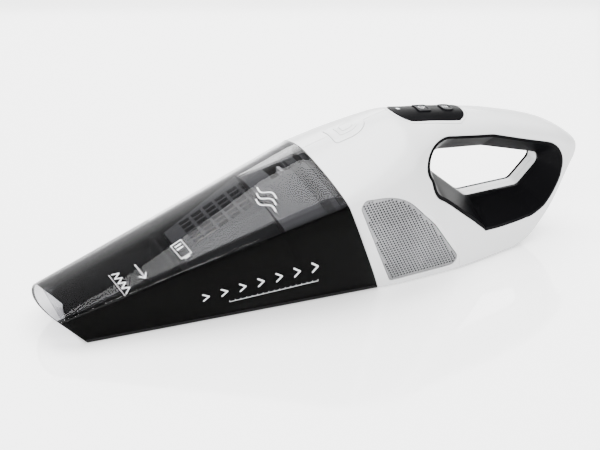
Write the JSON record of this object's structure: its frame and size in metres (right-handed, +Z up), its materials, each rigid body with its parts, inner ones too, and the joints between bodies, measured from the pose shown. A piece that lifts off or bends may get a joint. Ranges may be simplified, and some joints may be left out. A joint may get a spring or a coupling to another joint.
{
  "type": "handheld vacuum cleaner",
  "caption": "Cordless handheld vacuum with a smoked clear wedge-shaped dust cup, white body, side exhaust grilles and a loop handle lined in black.",
  "frame": {"origin": "middle of the length and width, on the flat bottom face", "axes": "+X from the nozzle to the tail of the handle, +Y to the tool's own right, +Z up"},
  "size_m": [0.42, 0.115, 0.1189],
  "materials": {
    "smoked_clear": "polished, smoked and see-through",
    "white_gloss": "polished",
    "black_gloss": "polished",
    "black_plastic": "satin",
    "dark_grey_plastic": "satin",
    "white_plastic": "satin",
    "black_rubber": "matt",
    "black_foam": "open foam, matt",
    "filter_paper": "pleated paper, matt",
    "silver_metal": "satin",
    "steel": "bright",
    "bronze": "satin",
    "copper_rotor": "satin",
    "magnet_dark": "satin",
    "nickel": "bright",
    "cell_wrap": "shrink wrap",
    "board_green": "solder mask",
    "lens_clear": "frosted",
    "led_white": "moulded",
    "wire_red": "satin",
    "screw_black": "blackened"
  },
  "bodies": {
    "body": {"filter_cage": "dark_grey_plastic", "filter_pleats": "filter_paper", "filter_frame": "dark_grey_plastic", "filter_gasket": "black_rubber", "motor_bulkhead": "dark_grey_plastic", "housing_left": "white_gloss", "housing_right": "white_gloss", "grille_left": "silver_metal", "grille_right": "silver_metal", "exhaust_foam_left": "black_foam", "exhaust_foam_right": "black_foam", "handle_ring_left": "black_gloss", "handle_ring_right": "black_gloss", "control_panel": "black_gloss", "indicator_lens": "lens_clear", "indicator_led": "led_white", "control_board": "board_green", "power_switch": "black_plastic", "mode_switch": "black_plastic", "release_spring": "steel", "spring_seat": "white_plastic", "fan_shroud": "dark_grey_plastic", "motor_can": "silver_metal", "motor_magnets": "magnet_dark", "motor_end_cap": "black_plastic", "motor_bearings": "bronze", "motor_mount": "black_rubber", "battery_cells": "cell_wrap", "cell_straps": "nickel", "battery_holder": "black_plastic", "battery_board": "board_green", "charge_socket": "black_plastic", "wiring": "wire_red", "housing_screws": "screw_black"},
    "cup": {"dust_cup": "smoked_clear", "inlet_duct": "smoked_clear", "cup_partition": "smoked_clear", "cup_catch": "black_plastic", "cup_seal": "black_rubber", "flap_pin": "steel"},
    "flap": {"inlet_flap": "black_rubber"},
    "fan": {"motor_shaft": "steel", "fan_impeller": "black_plastic", "shaft_nut": "steel", "motor_rotor": "copper_rotor"},
    "power_key": {"power_button": "black_plastic"},
    "mode_key": {"mode_button": "black_plastic"},
    "release": {"release_button": "white_gloss", "release_latch": "white_plastic"}
  },
  "joints": [
    {"name": "cup_slide", "type": "slide", "parent": "body", "child": "cup", "axis": [-1, 0, 0], "range_m": [0, 0.15]},
    {"name": "flap_swing", "type": "hinge", "parent": "cup", "child": "flap", "pos_m": [-0.1184, 0, 0.0395], "axis": [0, -1, 0], "range_deg": [0, 35]},
    {"name": "fan_spin", "type": "hinge", "parent": "body", "child": "fan", "pos_m": [0.05, 0, 0.043], "axis": [1, 0, 0], "continuous": true},
    {"name": "power_press", "type": "slide", "parent": "body", "child": "power_key", "axis": [-0.1461, 0, -0.9893], "range_m": [0, 0.0008], "stiffness_N_per_m": 1500},
    {"name": "mode_press", "type": "slide", "parent": "body", "child": "mode_key", "axis": [-0.1461, 0, -0.9893], "range_m": [0, 0.0008], "stiffness_N_per_m": 1500},
    {"name": "release_press", "type": "slide", "parent": "body", "child": "release", "axis": [0, 0, -1], "range_m": [0, 0.0025], "stiffness_N_per_m": 1200, "deforming": ["release_spring"]}
  ]
}
